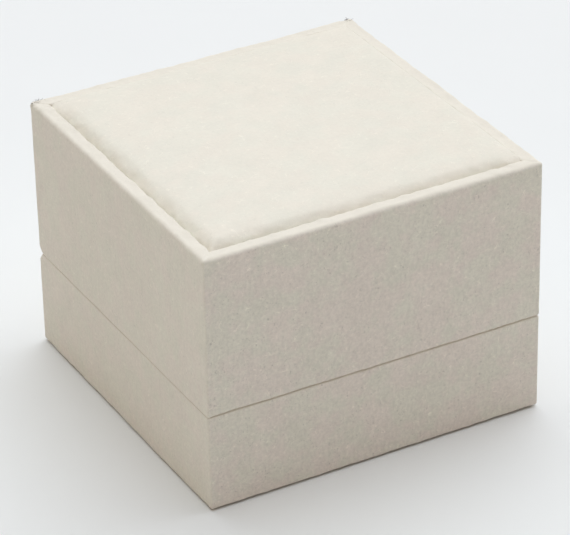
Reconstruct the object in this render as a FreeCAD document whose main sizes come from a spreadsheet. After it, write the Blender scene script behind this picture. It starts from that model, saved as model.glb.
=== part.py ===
import FreeCAD, Part
import math
import os
import re
import Sketcher

# Necklace box: a base and a taller hinged lid of rigid board, wrapped in cloth.
# Millimetres. +Z is up, the origin is under the middle of the box, the front faces -Y
# and the hinges are at the back, +Y. Left is -X.

# Driving dimensions: name, value, what it is
DRIVING = [
    ("box_width", 90.0, "outside, left to right"),
    ("box_depth", 90.0, "outside, front to back"),
    ("box_height", 67.4, "floor to the rim of the lid"),
    ("base_height", 25.8, "floor to the middle of the seam between base and lid"),
    ("seam_gap", 0.3, "gap between the two cloth edges when shut"),
    ("board", 3.0, "wall boards"),
    ("floor_board", 2.5, "board of the base's floor"),
    ("top_board", 2.5, "board under the lid's pad"),
    ("cloth", 0.4, "outer cloth with its glue"),
    ("edge_round", 0.8, "rounding of the outer cloth edges"),
    ("seam_round", 0.4, "rounding of the cloth edges at the seam and inside the rim"),
    ("turn_in", 9.0, "cloth turned in over the seam edges"),
    ("turn_under", 12.0, "cloth turned under the base"),
    ("foot_sheet", 0.3, "thickness of the sheet under the base"),
    ("foot_inset", 2.0, "foot sheet, in from the outside"),
    ("lining", 1.0, "lining strips on the inner walls"),
    ("lining_drop", 1.0, "lining strips, short of the seam edges"),
    ("floor_lining", 0.5, "lining of the base's floor"),
    ("support", 2.5, "thickness of the strips that carry the insert"),
    ("insert_drop", 1.2, "top of the insert, below the base's rim"),
    ("insert_play", 0.4, "gap round the insert"),
    ("insert_board", 1.5, "board of the insert"),
    ("insert_foam", 4.5, "foam of the insert"),
    ("insert_crown", 1.0, "rise of the insert from its rounded edge to its middle"),
    ("insert_round", 2.6, "rounded edge of the insert"),
    ("insert_turn", 8.0, "velvet turned under the insert"),
    ("velvet", 0.6, "velvet cover of the insert"),
    ("slit_length", 12.0, "chain slits in the insert"),
    ("slit_width", 1.2, "chain slits, across"),
    ("slit_side", 17.8, "middle of a chain slit, in from the insert's side"),
    ("slit_inset", 15.0, "middle of the chain slits, in from the insert's back edge"),
    ("ribbon", 0.3, "one layer of the pull tab's ribbon"),
    ("tab_width", 10.0, "pull tab, across"),
    ("tab_length", 7.0, "pull tab, along the top of the insert"),
    ("tab_leg", 10.0, "pull tab, glued under the insert"),
    ("tab_inset", 10.0, "pull tab's slit, in from the insert's front edge"),
    ("pouch_side", 13.8, "chain pouch, in from the insert's sides"),
    ("pouch_depth", 28.0, "chain pouch, front to back"),
    ("pouch_inset", 9.5, "chain pouch, in from the insert's back edge"),
    ("pouch", 0.5, "chain pouch lying flat"),
    ("pad_cloth", 0.4, "cover of the lid's pad"),
    ("pad_card", 0.8, "card under the lid's pad"),
    ("pad_foam", 2.8, "foam of the lid's pad, in its middle"),
    ("pad_rise", 0.4, "middle of the pad, above the rim"),
    ("pad_crown", 0.5, "rise of the pad from its rounded edge to its middle"),
    ("pad_round", 2.4, "rounded edge of the pad"),
    ("pad_turn", 7.0, "cover turned under the pad's card"),
    ("pad_gap", 0.3, "gap between the pad and the rim"),
    ("satin", 0.3, "satin cover of the panel inside the lid"),
    ("ceiling_card", 1.0, "card of the panel inside the lid"),
    ("ceiling_foam", 2.0, "foam of the panel inside the lid"),
    ("ceiling_crown", 0.5, "bulge of the panel inside the lid"),
    ("ceiling_round", 1.6, "rounded edge of the panel inside the lid"),
    ("ceiling_turn", 7.0, "satin turned behind the panel's card"),
    ("ceiling_play", 0.2, "gap round the panel inside the lid"),
    ("opening_angle", 95.0, "how far the lid opens, in degrees"),
    ("stop_slack", 2.0, "angle left between lid and base when open, in degrees"),
    ("hinge_inset", 1.6, "hinge axis, in from the back of the box"),
    ("hinge_side", 11.0, "outer end of a hinge, in from the side of the box"),
    ("hinge_length", 22.0, "length of a hinge"),
    ("hinge_play", 0.15, "room round the barrel and beside the leaves"),
    ("knuckle_gap", 0.2, "gap between neighbouring knuckles"),
    ("barrel_radius", 1.5, "outside of the knuckles"),
    ("pin_radius", 0.75, "hinge pin"),
    ("pin_play", 0.05, "running clearance of the pin, on the radius"),
    ("leaf", 0.6, "sheet metal of the leaves"),
    ("leaf_leg", 9.0, "height of a leaf, from the rim"),
    ("nail_radius", 0.5, "shank of a nail"),
    ("nail_head", 1.0, "radius of a nail's countersunk head"),
    ("nail_sink", 0.5, "depth of a nail's head"),
    ("nail_length", 2.8, "whole nail"),
    ("nail_spacing", 12.0, "nails of one leaf, middle to middle"),
    ("nail_drop", 5.5, "nails, from the rim"),
    ("magnet_length", 10.0, "bar magnet, along the front"),
    ("magnet_thickness", 1.5, "bar magnet, through the board"),
    ("magnet_height", 4.0, "bar magnet, up and down"),
    ("magnet_side", 15.0, "outer end of a bar magnet, in from the side of the box"),
    ("magnet_play", 0.05, "room round a magnet in its slot"),
]

doc = FreeCAD.newDocument("necklace_box")
sheet = doc.addObject("Spreadsheet::Sheet", "sizes")
for row, (alias, number, note) in enumerate(DRIVING, 1):
    sheet.set(f"A{row}", alias)
    sheet.set(f"B{row}", str(number))
    sheet.set(f"C{row}", note)
    sheet.setAlias(f"B{row}", alias)
doc.recompute()

ALIASES = {alias for alias, number, note in DRIVING}


def bound(text):
    """The text as a sheet expression: each alias gets the sheet's name in front."""
    return re.sub(r"[a-z_]+", lambda word: f"sizes.{word[0]}" if word[0] in ALIASES else word[0], text)


def value(text):
    """What an expression comes to with the sheet's numbers."""
    return float(sheet.evalExpression(bound(text)))


# Half sizes and levels that follow from the driving dimensions
WALL_OUT_X = "(box_width / 2 - cloth)"
WALL_OUT_Y = "(box_depth / 2 - cloth)"
WALL_IN_X = "(box_width / 2 - cloth - board)"
WALL_IN_Y = "(box_depth / 2 - cloth - board)"
INSIDE_X = "(box_width / 2 - 2 * cloth - board)"
INSIDE_Y = "(box_depth / 2 - 2 * cloth - board)"
ROOM_X = f"({INSIDE_X} - lining)"
ROOM_Y = f"({INSIDE_Y} - lining)"

BASE_RIM = "(base_height - seam_gap / 2)"
BASE_WALL_BOTTOM = "(foot_sheet + cloth)"
BASE_WALL_TOP = f"({BASE_RIM} - cloth)"
BASE_FLOOR = f"({BASE_WALL_BOTTOM} + floor_board)"
WELL_FLOOR = f"({BASE_FLOOR} + floor_lining)"

LID_RIM = "(base_height + seam_gap / 2)"
LID_WALL_BOTTOM = f"({LID_RIM} + cloth)"
LID_WALL_TOP = "(box_height - cloth)"
PAD_HEIGHT = "(2 * pad_cloth + pad_card + pad_foam)"
RECESS_FLOOR = f"(box_height + pad_rise - {PAD_HEIGHT})"
CEILING = f"({RECESS_FLOOR} - top_board)"

INSERT_X = f"({ROOM_X} - insert_play)"
INSERT_Y = f"({ROOM_Y} - insert_play)"
INSERT_HEIGHT = "(2 * velvet + insert_board + insert_foam)"
INSERT_SEAT = f"({BASE_RIM} - insert_drop - {INSERT_HEIGHT})"
TAB_Y = f"(tab_inset - {INSERT_Y})"

HINGE_X = "(box_width / 2 - hinge_side - hinge_length / 2)"
HINGE_Y = "(box_depth / 2 - hinge_inset)"
STOP_ANGLE = "((opening_angle + stop_slack) / 2)"

TOUCH = 0.01  # how near two measures count as the same when edges are picked
X_AXIS = FreeCAD.Vector(1, 0, 0)
Y_AXIS = FreeCAD.Vector(0, 1, 0)
Z_AXIS = FreeCAD.Vector(0, 0, 1)

kept = {}


def keep(node, piece):
    """The finished piece under its node's name."""
    piece.Label = node
    kept[node] = piece
    return piece


def rectangle(half_x, half_y):
    return [(f"-{half_x}", f"-{half_y}"), (half_x, f"-{half_y}"), (half_x, half_y), (f"-{half_x}", half_y)]


def span(low_x, high_x, low_y, high_y):
    return [(low_x, low_y), (high_x, low_y), (high_x, high_y), (low_x, high_y)]


def hold(sketch, kind, *places):
    """A dimension of the sketch, bound to an expression, which comes last."""
    *places, text = places
    index = sketch.addConstraint(Sketcher.Constraint(kind, *places, value(text)))
    sketch.setExpression(f"Constraints[{index}]", bound(text))


def sketch_on(body, role, level, name):
    """An empty sketch on one of the body's origin planes, raised by level."""
    sketch = body.newObject("Sketcher::SketchObject", name)
    plane = next(feature for feature in body.Origin.OriginFeatures if feature.Role == role)
    sketch.AttachmentSupport = [(plane, "")]
    sketch.MapMode = "FlatFace"
    sketch.setExpression("AttachmentOffset.Base.z", bound(level))
    return sketch


def draw_outline(sketch, corners):
    """A closed outline whose corners are bound to their expressions."""
    first = sketch.GeometryCount
    count = len(corners)
    points = [FreeCAD.Vector(value(x), value(y), 0) for x, y in corners]
    for index, point in enumerate(points):
        sketch.addGeometry(Part.LineSegment(point, points[(index + 1) % count]), False)
    for index in range(count):
        following = first + (index + 1) % count
        sketch.addConstraint(Sketcher.Constraint("Coincident", first + index, 2, following, 1))
    for index, (x, y) in enumerate(corners):
        hold(sketch, "DistanceX", -1, 1, first + index, 1, x)
        hold(sketch, "DistanceY", -1, 1, first + index, 1, y)


def draw_rounded(sketch, half_x, half_y, corner):
    """A rectangle with round corners about the origin, bound to its expressions."""
    inner_x = f"({half_x} - {corner})"
    inner_y = f"({half_y} - {corner})"
    sides = [
        ((f"-{inner_x}", f"-{half_y}"), (inner_x, f"-{half_y}")),
        ((half_x, f"-{inner_y}"), (half_x, inner_y)),
        ((inner_x, half_y), (f"-{inner_x}", half_y)),
        ((f"-{half_x}", inner_y), (f"-{half_x}", f"-{inner_y}")),
    ]
    centres = rectangle(inner_x, inner_y)[1:] + rectangle(inner_x, inner_y)[:1]
    for start, end in sides:
        ends = [FreeCAD.Vector(value(x), value(y), 0) for x, y in (start, end)]
        sketch.addGeometry(Part.LineSegment(*ends), False)
    for index, (x, y) in enumerate(centres):
        circle = Part.Circle(FreeCAD.Vector(value(x), value(y), 0), Z_AXIS, value(corner))
        first = math.radians(90 * index - 90)
        sketch.addGeometry(Part.ArcOfCircle(circle, first, first + math.radians(90)), False)
    for index, ends in enumerate(sides):
        sketch.addConstraint(Sketcher.Constraint("Coincident", index, 2, 4 + index, 1))
        sketch.addConstraint(Sketcher.Constraint("Coincident", 4 + index, 2, (index + 1) % 4, 1))
        hold(sketch, "Radius", 4 + index, corner)
        for end, (x, y) in enumerate(ends, 1):
            hold(sketch, "DistanceX", -1, 1, index, end, x)
            hold(sketch, "DistanceY", -1, 1, index, end, y)


def draw_circle(sketch, x, y, radius):
    """A circle whose centre and radius are bound to their expressions."""
    centre = FreeCAD.Vector(value(x), value(y), 0)
    index = sketch.addGeometry(Part.Circle(centre, Z_AXIS, value(radius)), False)
    hold(sketch, "DistanceX", -1, 1, index, 3, x)
    hold(sketch, "DistanceY", -1, 1, index, 3, y)
    hold(sketch, "Radius", index, radius)


def extrude(body, kind, sketch, length, both_ways=False):
    """A pad away from the sketch's plane, or a pocket the other way."""
    feature = body.newObject(f"PartDesign::{kind}", f"{body.Name}_{kind.lower()}")
    feature.Profile = sketch
    feature.setExpression("Length", bound(length))
    if both_ways:
        feature.SideType = "Symmetric"
    doc.recompute()
    return feature


def extrude_outline(body, kind, role, level, corners, length, both_ways=False):
    sketch = sketch_on(body, role, level, f"{body.Name}_outline")
    draw_outline(sketch, corners)
    return extrude(body, kind, sketch, length, both_ways)


def extrude_circle(body, kind, level, radius, length, both_ways=False):
    """A round feature on the hinge axis, its sketch at level along X."""
    sketch = sketch_on(body, "YZ_Plane", level, f"{body.Name}_circle")
    draw_circle(sketch, HINGE_Y, "base_height", radius)
    return extrude(body, kind, sketch, length, both_ways)


def round_edges(body, radius, picked):
    """A fillet on the edges of the body's last feature for which picked is true."""
    base = body.Tip
    names = [f"Edge{index}" for index, edge in enumerate(base.Shape.Edges, 1) if picked(edge)]
    fillet = body.newObject("PartDesign::Fillet", f"{body.Name}_rounding")
    fillet.Base = (base, names)
    fillet.setExpression("Radius", bound(radius))
    doc.recompute()
    return fillet


def upright(edge):
    return edge.BoundBox.XLength < TOUCH and edge.BoundBox.YLength < TOUCH and edge.BoundBox.ZLength > TOUCH


def at_level(level):
    height = value(level)
    return lambda edge: abs(edge.BoundBox.ZMin - height) < TOUCH and abs(edge.BoundBox.ZMax - height) < TOUCH


def plate(name, corners, bottom, top):
    """A flat piece: an outline seen from above, between two levels."""
    body = doc.addObject("PartDesign::Body", name)
    extrude_outline(body, "Pad", "XY_Plane", bottom, corners, f"({top} - {bottom})")
    return body


def joined(name, pieces):
    fuse = doc.addObject("Part::MultiFuse", name)
    fuse.Shapes = pieces
    doc.recompute()
    return fuse


def cut_away(name, base, tools):
    """The base with the space of the tools taken out of it."""
    tool = tools[0] if len(tools) == 1 else joined(f"{name}_cutters", tools)
    cut = doc.addObject("Part::Cut", name)
    cut.Base = base
    cut.Tool = tool
    doc.recompute()
    return cut


def group(name, pieces):
    compound = doc.addObject("Part::Compound", name)
    compound.Links = pieces
    doc.recompute()
    return compound


def move_to(piece, x, y, z, axis=Z_AXIS, angle=0):
    """Turns a piece about its own origin and binds its place."""
    piece.Placement = FreeCAD.Placement(FreeCAD.Vector(), FreeCAD.Rotation(axis, angle))
    for letter, text in (("x", x), ("y", y), ("z", z)):
        piece.setExpression(f"Placement.Base.{letter}", bound(text))
    return piece


def primitive(kind, name, **sizes):
    piece = doc.addObject(f"Part::{kind}", name)
    for key, text in sizes.items():
        piece.setExpression(key, bound(text))
    return piece


def lining_strips(half, bottom, top):
    """Four strips inside the turned-in cloth; left and right stand between front and back."""
    for side, sign in (("front", -1), ("back", 1)):
        low, high = sorted((f"{sign} * {ROOM_Y}", f"{sign} * {INSIDE_Y}"), key=value)
        name = f"{half}_{side}_lining"
        keep(name, plate(name, span(f"-{INSIDE_X}", INSIDE_X, low, high), bottom, top))
    for side, sign in (("left", -1), ("right", 1)):
        low, high = sorted((f"{sign} * {ROOM_X}", f"{sign} * {INSIDE_X}"), key=value)
        name = f"{half}_{side}_lining"
        keep(name, plate(name, span(low, high, f"-{ROOM_Y}", ROOM_Y), bottom, top))


# Boards. Front and back run the full width, left and right stand between them.

def wall_boards(half, bottom, top, back_corners):
    """The four wall boards as plain blanks; the back one has the slanted hinge edge."""
    width = f"(2 * {WALL_OUT_X})"
    back = doc.addObject("PartDesign::Body", f"{half}_back_blank")
    extrude_outline(back, "Pad", "YZ_Plane", "0", back_corners, width, both_ways=True)
    front = plate(f"{half}_front_blank", span(f"-{WALL_OUT_X}", WALL_OUT_X, f"-{WALL_OUT_Y}", f"-{WALL_IN_Y}"),
                  bottom, top)
    left = plate(f"{half}_left_board", span(f"-{WALL_OUT_X}", f"-{WALL_IN_X}", f"-{WALL_IN_Y}", WALL_IN_Y),
                 bottom, top)
    right = plate(f"{half}_right_board", span(WALL_IN_X, WALL_OUT_X, f"-{WALL_IN_Y}", WALL_IN_Y),
                  bottom, top)
    return front, back, left, right


# The slanted edges leave a V behind the hinge axis, and meet when the lid is open.
# The board's slant lies one cloth thickness behind the cloth's.
SLANT_START = f"({HINGE_Y} - cloth * (1 / cos({STOP_ANGLE}) - 1) / tan({STOP_ANGLE}))"
SLANT_RISE = f"((hinge_inset - cloth) * tan({STOP_ANGLE}) + cloth / cos({STOP_ANGLE}))"

base_back_corners = [
    (WALL_IN_Y, BASE_WALL_BOTTOM),
    (WALL_OUT_Y, BASE_WALL_BOTTOM),
    (WALL_OUT_Y, f"{BASE_RIM} - {SLANT_RISE}"),
    (SLANT_START, BASE_WALL_TOP),
    (WALL_IN_Y, BASE_WALL_TOP),
]
lid_back_corners = [
    (WALL_IN_Y, LID_WALL_TOP),
    (WALL_OUT_Y, LID_WALL_TOP),
    (WALL_OUT_Y, f"{LID_RIM} + {SLANT_RISE}"),
    (SLANT_START, LID_WALL_BOTTOM),
    (WALL_IN_Y, LID_WALL_BOTTOM),
]

base_front, base_back, base_left, base_right = wall_boards(
    "base", BASE_WALL_BOTTOM, BASE_WALL_TOP, base_back_corners)
lid_front, lid_back, lid_left, lid_right = wall_boards(
    "lid", LID_WALL_BOTTOM, LID_WALL_TOP, lid_back_corners)
for half, left, right in (("base", base_left, base_right), ("lid", lid_left, lid_right)):
    keep(f"{half}_left_board", left)
    keep(f"{half}_right_board", right)

BETWEEN_WALLS = rectangle(WALL_IN_X, WALL_IN_Y)
keep("base_floor_board", plate("base_floor_board", BETWEEN_WALLS, BASE_WALL_BOTTOM, BASE_FLOOR))
keep("lid_top_board", plate("lid_top_board", BETWEEN_WALLS, CEILING, RECESS_FLOOR))


# Hinges. Each has a base leaf with the two outer knuckles, a lid leaf with the middle one and a pin.
# A leaf is an L: it comes off the barrel along the rim and turns down, or up, the inner face.

HINGES = (("left", f"(-{HINGE_X})"), ("right", HINGE_X))
HALVES = {"base": (BASE_RIM, "-"), "lid": (LID_RIM, "+")}


def leaf_corners(half, inner_face, seam_side):
    rim, away = HALVES[half]
    return [
        (inner_face, seam_side),
        (HINGE_Y, seam_side),
        (HINGE_Y, f"{rim} {away} leaf"),
        (f"{INSIDE_Y} + leaf", f"{rim} {away} leaf"),
        (f"{INSIDE_Y} + leaf", f"{rim} {away} leaf_leg"),
        (inner_face, f"{rim} {away} leaf_leg"),
    ]


def hinge_leaf(half, side, middle):
    """One leaf with its knuckles, before the nail holes."""
    body = doc.addObject("PartDesign::Body", f"hinge_{half}_leaf_{side}_blank")
    corners = leaf_corners(half, INSIDE_Y, HALVES[half][0])
    extrude_outline(body, "Pad", "YZ_Plane", middle, corners, "hinge_length", both_ways=True)
    extrude_circle(body, "Pad", middle, "barrel_radius", "hinge_length", both_ways=True)
    room = "(barrel_radius + hinge_play)"
    if half == "base":
        extrude_circle(body, "Pocket", middle, room, "hinge_length / 3 + knuckle_gap", both_ways=True)
        bore = "pin_radius"
    else:
        length = "(hinge_length / 3 + knuckle_gap / 2)"
        extrude_circle(body, "Pocket", f"{middle} + hinge_length / 2", room, length)
        extrude_circle(body, "Pocket", f"{middle} - hinge_length / 2 + {length}", room, length)
        bore = "(pin_radius + pin_play)"
    extrude_circle(body, "Pocket", middle, bore, "2 * hinge_length", both_ways=True)
    return body


def hinge_seat(half, side, middle):
    """The space that a leaf and the barrel take out of the cloth and the board."""
    body = doc.addObject("PartDesign::Body", f"{half}_{side}_hinge_seat")
    length = "(hinge_length + 2 * hinge_play)"
    corners = leaf_corners(half, f"({INSIDE_Y} - cloth)", "base_height")
    extrude_outline(body, "Pad", "YZ_Plane", middle, corners, length, both_ways=True)
    extrude_circle(body, "Pad", middle, "(barrel_radius + hinge_play)", length, both_ways=True)
    return body


def nails(half):
    """The four countersunk nails of one half, driven outwards through its two leaves."""
    rim, away = HALVES[half]
    made = []
    for side, middle in HINGES:
        for place, sign in (("outer", "-"), ("inner", "+")):
            name = f"{half}_{side}_{place}_nail"
            where = (f"{middle} {sign} nail_spacing / 2", INSIDE_Y, f"{rim} {away} nail_drop")
            head = primitive("Cone", f"{name}_head",
                             Radius1="nail_head", Radius2="nail_radius", Height="nail_sink")
            shank = primitive("Cylinder", f"{name}_shank", Radius="nail_radius", Height="nail_length")
            move_to(head, *where, axis=X_AXIS, angle=-90)
            move_to(shank, *where, axis=X_AXIS, angle=-90)
            made.append(joined(name, [head, shank]))
    return keep(f"hinge_{half}_nails", group(f"hinge_{half}_nails", made))


seats = {}
driven = {}
for half in HALVES:
    driven[half] = nails(half)
    seats[half] = [hinge_seat(half, side, middle) for side, middle in HINGES]
    for side, middle in HINGES:
        name = f"hinge_{half}_leaf_{side}"
        keep(name, cut_away(name, hinge_leaf(half, side, middle), [driven[half]]))
for side, middle in HINGES:
    pin = primitive("Cylinder", f"hinge_pin_{side}", Radius="pin_radius", Height="hinge_length")
    keep(f"hinge_pin_{side}", move_to(pin, f"{middle} - hinge_length / 2", HINGE_Y, "base_height", Y_AXIS, 90))

keep("base_back_board", cut_away("base_back_board", base_back, seats["base"] + [driven["base"]]))
keep("lid_back_board", cut_away("lid_back_board", lid_back, seats["lid"] + [driven["lid"]]))


# Magnets, in slots in the front boards' seam edges

MAGNET_X = "(box_width / 2 - magnet_side - magnet_length / 2)"


def bars(name, bottom, play):
    """Two upright bars in the middle of the front board, each larger by play all round."""
    pair = []
    for side, sign in (("left", "-"), ("right", "+")):
        bar = primitive("Box", f"{name}_{side}", Length=f"magnet_length + 2 * {play}",
                        Width=f"magnet_thickness + 2 * {play}", Height="magnet_height")
        x = f"{sign} {MAGNET_X} - magnet_length / 2 - {play}"
        y = f"board / 2 - {WALL_OUT_Y} - magnet_thickness / 2 - {play}"
        pair.append(move_to(bar, x, y, bottom))
    return group(name, pair)


for half, blank, bottom in (("base", base_front, f"{BASE_WALL_TOP} - magnet_height"),
                            ("lid", lid_front, LID_WALL_BOTTOM)):
    keep(f"{half}_magnets", bars(f"{half}_magnets", bottom, "0"))
    slots = bars(f"{half}_magnet_slots", bottom, "magnet_play")
    keep(f"{half}_front_board", cut_away(f"{half}_front_board", blank, [slots]))


# Outer cloth. Each half is one skin: outside, over the rims, and turned in.

def cloth_blank(name, bottom, top, bottom_round, top_round):
    """The outside of one half as a block with rounded edges."""
    body = plate(name, rectangle("box_width / 2", "box_depth / 2"), bottom, top)
    round_edges(body, "edge_round", upright)
    round_edges(body, bottom_round, at_level(bottom))
    round_edges(body, top_round, at_level(top))
    return body


def hollow(body, half_x, half_y, top, bottom):
    extrude_outline(body, "Pocket", "XY_Plane", top, rectangle(half_x, half_y), f"({top} - {bottom})")


def slant(body, rim, away):
    """Takes the V behind the hinge axis off the block's seam edge."""
    past = "(box_depth / 2 + cloth)"
    corners = [
        (HINGE_Y, rim),
        (HINGE_Y, "base_height"),
        (past, "base_height"),
        (past, f"{rim} {away} (hinge_inset + cloth) * tan({STOP_ANGLE})"),
    ]
    extrude_outline(body, "Pocket", "YZ_Plane", "0", corners, "2 * box_width", both_ways=True)


base_cloth = cloth_blank("base_wrap_blank", "foot_sheet", BASE_RIM, "edge_round", "seam_round")
turned_in_to = f"({BASE_RIM} - cloth - turn_in)"
hollow(base_cloth, INSIDE_X, INSIDE_Y, BASE_RIM, turned_in_to)
hollow(base_cloth, WALL_IN_X, WALL_IN_Y, turned_in_to, BASE_WALL_BOTTOM)
hollow(base_cloth, "(box_width / 2 - turn_under)", "(box_depth / 2 - turn_under)",
       BASE_WALL_BOTTOM, "foot_sheet")
slant(base_cloth, BASE_RIM, "-")
base_walls = [base_front, base_back, base_left, base_right]
keep("base_wrap", cut_away("base_wrap", base_cloth, base_walls + seats["base"]))

lid_cloth = cloth_blank("lid_wrap_blank", LID_RIM, "box_height", "seam_round", "edge_round")
turned_in_to = f"({LID_RIM} + cloth + turn_in)"
hollow(lid_cloth, INSIDE_X, INSIDE_Y, turned_in_to, LID_RIM)
hollow(lid_cloth, WALL_IN_X, WALL_IN_Y, RECESS_FLOOR, turned_in_to)
hollow(lid_cloth, INSIDE_X, INSIDE_Y, "box_height", RECESS_FLOOR)
rim_level = at_level("box_height")
round_edges(lid_cloth, "seam_round",
            lambda edge: rim_level(edge) and max(abs(edge.CenterOfMass.x) - value(INSIDE_X),
                                                 abs(edge.CenterOfMass.y) - value(INSIDE_Y)) < TOUCH)
slant(lid_cloth, LID_RIM, "+")
lid_walls = [lid_front, lid_back, lid_left, lid_right]
keep("lid_wrap", cut_away("lid_wrap", lid_cloth, lid_walls + seats["lid"]))

foot = plate("base_foot_sheet", rectangle("(box_width / 2 - foot_inset)", "(box_depth / 2 - foot_inset)"),
             "0", "foot_sheet")
round_edges(foot, "foot_inset", upright)
keep("base_foot_sheet", foot)


# Linings and the strips under the insert

lining_strips("base", BASE_FLOOR, f"({BASE_RIM} - lining_drop)")
lining_strips("lid", f"({LID_RIM} + lining_drop)", CEILING)
keep("base_floor_lining", plate("base_floor_lining", rectangle(ROOM_X, ROOM_Y), BASE_FLOOR, WELL_FLOOR))

WELL_X = f"({ROOM_X} - support)"
WELL_Y = f"({ROOM_Y} - support)"
for node, corners in (
        ("insert_front_support", span(f"-{ROOM_X}", ROOM_X, f"-{ROOM_Y}", f"-{WELL_Y}")),
        ("insert_back_support", span(f"-{ROOM_X}", ROOM_X, WELL_Y, ROOM_Y)),
        ("insert_left_support", span(f"-{ROOM_X}", f"-{WELL_X}", f"-{WELL_Y}", WELL_Y)),
        ("insert_right_support", span(WELL_X, ROOM_X, f"-{WELL_Y}", WELL_Y))):
    keep(node, plate(node, corners, WELL_FLOOR, INSERT_SEAT))


# Padded panels: a card, a crowned foam on it and a cover turned under the card.
# Each is made lying on its back at the origin, and then put in its place.

EDGE_TURNS = (30, 60, 90)  # a cushion's level outlines on its rounded edge, in degrees
DOME = ((0.7, 0.55), (0.35, 1))  # and above it: share of the way out, share of the crown


def cushion(name, half_x, half_y, bottom, top, crown, rounding):
    """A crowned block with rounded corners and upper edges, lofted through level outlines."""
    body = doc.addObject("PartDesign::Body", name)
    shoulder = f"({top} - {crown} - {rounding})"
    levels = [(bottom, half_x, half_y), (shoulder, half_x, half_y)]
    for turn in EDGE_TURNS:
        level = f"{shoulder} + {rounding} * sin({turn})"
        inset = f"{rounding} * (1 - cos({turn}))"
        levels.append((level, f"({half_x} - {inset})", f"({half_y} - {inset})"))
    for out, rise in DOME:
        level = f"{shoulder} + {rounding} + {rise} * {crown}"
        levels.append((level, f"({out} * ({half_x} - {rounding}))", f"({out} * ({half_y} - {rounding}))"))
    sections = []
    for level, across_x, across_y in levels:
        section = sketch_on(body, "XY_Plane", level, f"{name}_level")
        draw_rounded(section, across_x, across_y, rounding)
        sections.append(section)
    loft = body.newObject("PartDesign::AdditiveLoft", f"{name}_loft")
    loft.Profile = sections[0]
    loft.Sections = sections[1:]
    loft.Ruled = True
    doc.recompute()
    return body


def padded_panel(names, half_x, half_y, skin, card, foam, crown, rounding, turn, place, openings=None):
    """The three pieces of one panel, placed and with its openings cut through them all."""
    cover_name, foam_name, card_name = names
    card_top = f"({skin} + {card})"
    foam_top = f"({skin} + {card} + {foam})"
    in_x = f"({half_x} - {skin})"
    in_y = f"({half_y} - {skin})"
    cover = cushion(f"{cover_name}_blank", half_x, half_y, "0", f"({foam_top} + {skin})", crown, rounding)
    hollow(cover, f"({half_x} - {turn})", f"({half_y} - {turn})", skin, "0")
    stuffing = cushion(f"{foam_name}_blank", in_x, in_y, card_top, foam_top, crown, f"({rounding} - {skin})")
    backing = plate(f"{card_name}_blank", rectangle(in_x, in_y), skin, card_top)
    round_edges(backing, f"({rounding} - {skin})", upright)
    for piece in (cover, stuffing, backing):
        move_to(piece, *place)
    if openings is None:
        keep(foam_name, stuffing)
        keep(card_name, backing)
        keep(cover_name, cut_away(cover_name, cover, [stuffing, backing]))
    else:
        keep(foam_name, cut_away(foam_name, stuffing, [openings]))
        keep(card_name, cut_away(card_name, backing, [openings]))
        keep(cover_name, cut_away(cover_name, cover, [stuffing, backing, openings]))


padded_panel(("lid_pad_cover", "lid_pad_foam", "lid_pad_card"),
             f"({INSIDE_X} - pad_gap)", f"({INSIDE_Y} - pad_gap)",
             "pad_cloth", "pad_card", "pad_foam", "pad_crown", "pad_round", "pad_turn",
             ("0", "0", RECESS_FLOOR))
padded_panel(("ceiling_cover", "ceiling_foam", "ceiling_card"),
             f"({ROOM_X} - ceiling_play)", f"({ROOM_Y} - ceiling_play)",
             "satin", "ceiling_card", "ceiling_foam", "ceiling_crown", "ceiling_round", "ceiling_turn",
             ("0", "0", CEILING, X_AXIS, 180))


# The insert lifts out. Its slits go right through: two for the chain, one for the pull tab.

def slit(name, middle_x, middle_y, across_x, across_y):
    box = primitive("Box", name, Length=across_x, Width=across_y, Height=f"2 * {INSERT_HEIGHT}")
    return move_to(box, f"{middle_x} - {across_x} / 2", f"{middle_y} - {across_y} / 2",
                   f"{INSERT_SEAT} - {INSERT_HEIGHT} / 2")


slit_x = f"({INSERT_X} - slit_side)"
slit_y = f"({INSERT_Y} - slit_inset)"
slits = joined("insert_slits", [
    slit("left_chain_slit", f"(-{slit_x})", slit_y, "slit_width", "slit_length"),
    slit("right_chain_slit", slit_x, slit_y, "slit_width", "slit_length"),
    slit("tab_slit", "0", TAB_Y, "tab_width", "(2 * ribbon)"),
])
padded_panel(("insert_cover", "insert_foam", "insert_board"), INSERT_X, INSERT_Y,
             "velvet", "insert_board", "insert_foam", "insert_crown", "insert_round", "insert_turn",
             ("0", "0", INSERT_SEAT), slits)

# The folded ribbon is glued under the board, comes up its slit and lies towards the front.
tab = doc.addObject("PartDesign::Body", "insert_pull_tab")
tab_back = f"({TAB_Y} + ribbon)"
tab_front = f"({TAB_Y} - ribbon)"
board_bottom = f"({INSERT_SEAT} + velvet)"
insert_top = f"({INSERT_SEAT} + {INSERT_HEIGHT})"
extrude_outline(tab, "Pad", "YZ_Plane", "0", [
    (tab_front, f"{board_bottom} - 2 * ribbon"),
    (f"{tab_back} + tab_leg", f"{board_bottom} - 2 * ribbon"),
    (f"{tab_back} + tab_leg", board_bottom),
    (tab_back, board_bottom),
    (tab_back, f"{insert_top} + 2 * ribbon"),
    (f"{tab_front} - tab_length", f"{insert_top} + 2 * ribbon"),
    (f"{tab_front} - tab_length", insert_top),
    (tab_front, insert_top),
], "tab_width", both_ways=True)
keep("insert_pull_tab", tab)

pouch_x = f"({INSERT_X} - pouch_side)"
pouch_back = f"({INSERT_Y} - pouch_inset)"
pouch_corners = span(f"-{pouch_x}", pouch_x, f"{pouch_back} - pouch_depth", pouch_back)
keep("chain_pouch", plate("chain_pouch", pouch_corners, f"({board_bottom} - pouch)", board_bottom))


# Every object and every finished piece is checked before anything is written.

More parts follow.
